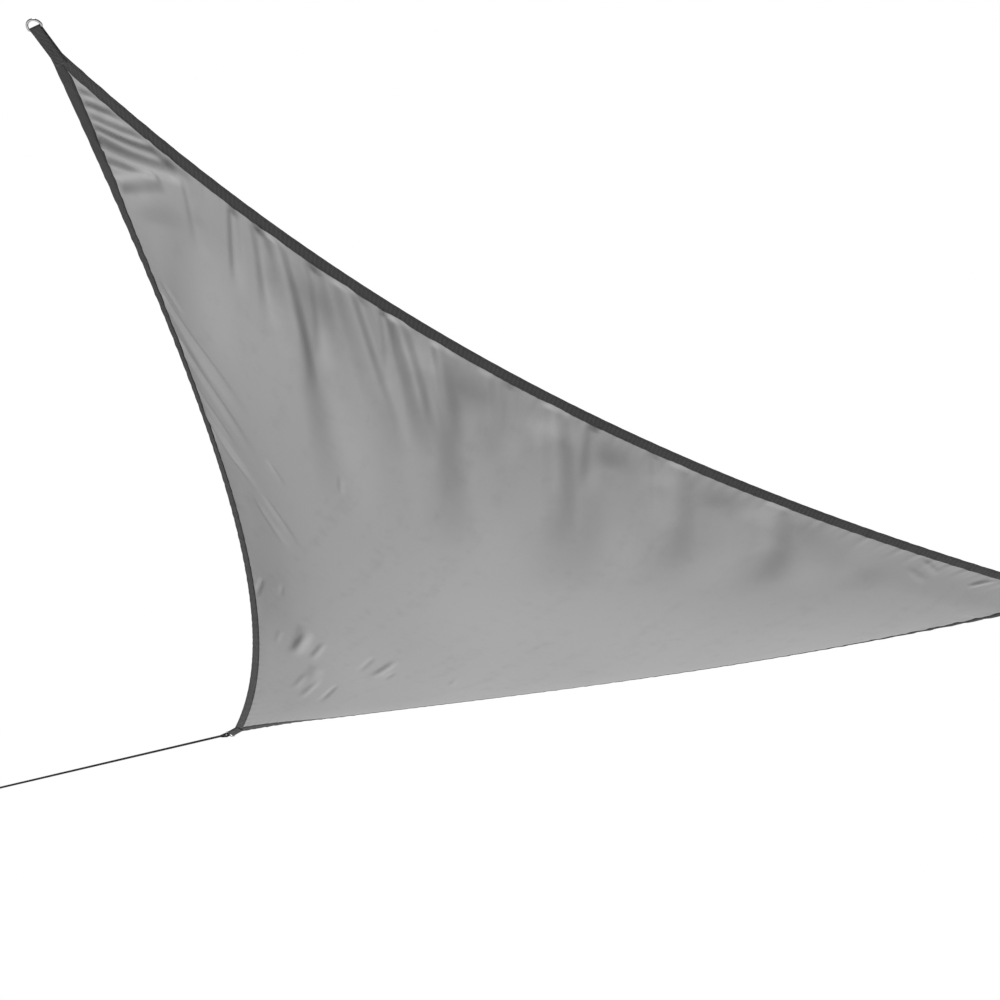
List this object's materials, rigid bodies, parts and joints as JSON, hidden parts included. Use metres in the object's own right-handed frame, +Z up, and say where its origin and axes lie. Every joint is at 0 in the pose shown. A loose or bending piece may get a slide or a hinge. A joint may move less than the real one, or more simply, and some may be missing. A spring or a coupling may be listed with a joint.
{
  "type": "shade sail",
  "caption": "Triangular shade sail in knitted cloth, webbing round its hollow edges, a D ring on a loop at each corner and a taut tie rope on one, hanging as a sagging sheet with folds.",
  "frame": {"origin": "where the high corner's D ring bears on what holds the sail up", "axes": "+Z up; +Y level from the high corner towards the far corner, away from the viewer; +X towards the right corner"},
  "size_m": [4.6316, 4.231, 1.6071],
  "materials": {
    "knit": "matt knitted mesh, slightly translucent",
    "webbing": "matt woven tape",
    "steel": "polished round wire",
    "cordage": "braided rope"
  },
  "bodies": {
    "root": {"sail_cloth": "knit", "edge_webbing_upper": "webbing", "edge_webbing_lower": "webbing", "edge_webbing_left": "webbing", "corner_loop_high": "webbing", "corner_loop_far": "webbing", "corner_loop_right": "webbing", "d_ring_high": "steel", "d_ring_far": "steel", "d_ring_right": "steel", "tie_rope": "cordage", "rope_eye": "cordage", "rope_end_eye": "cordage"}
  },
  "joints": []
}
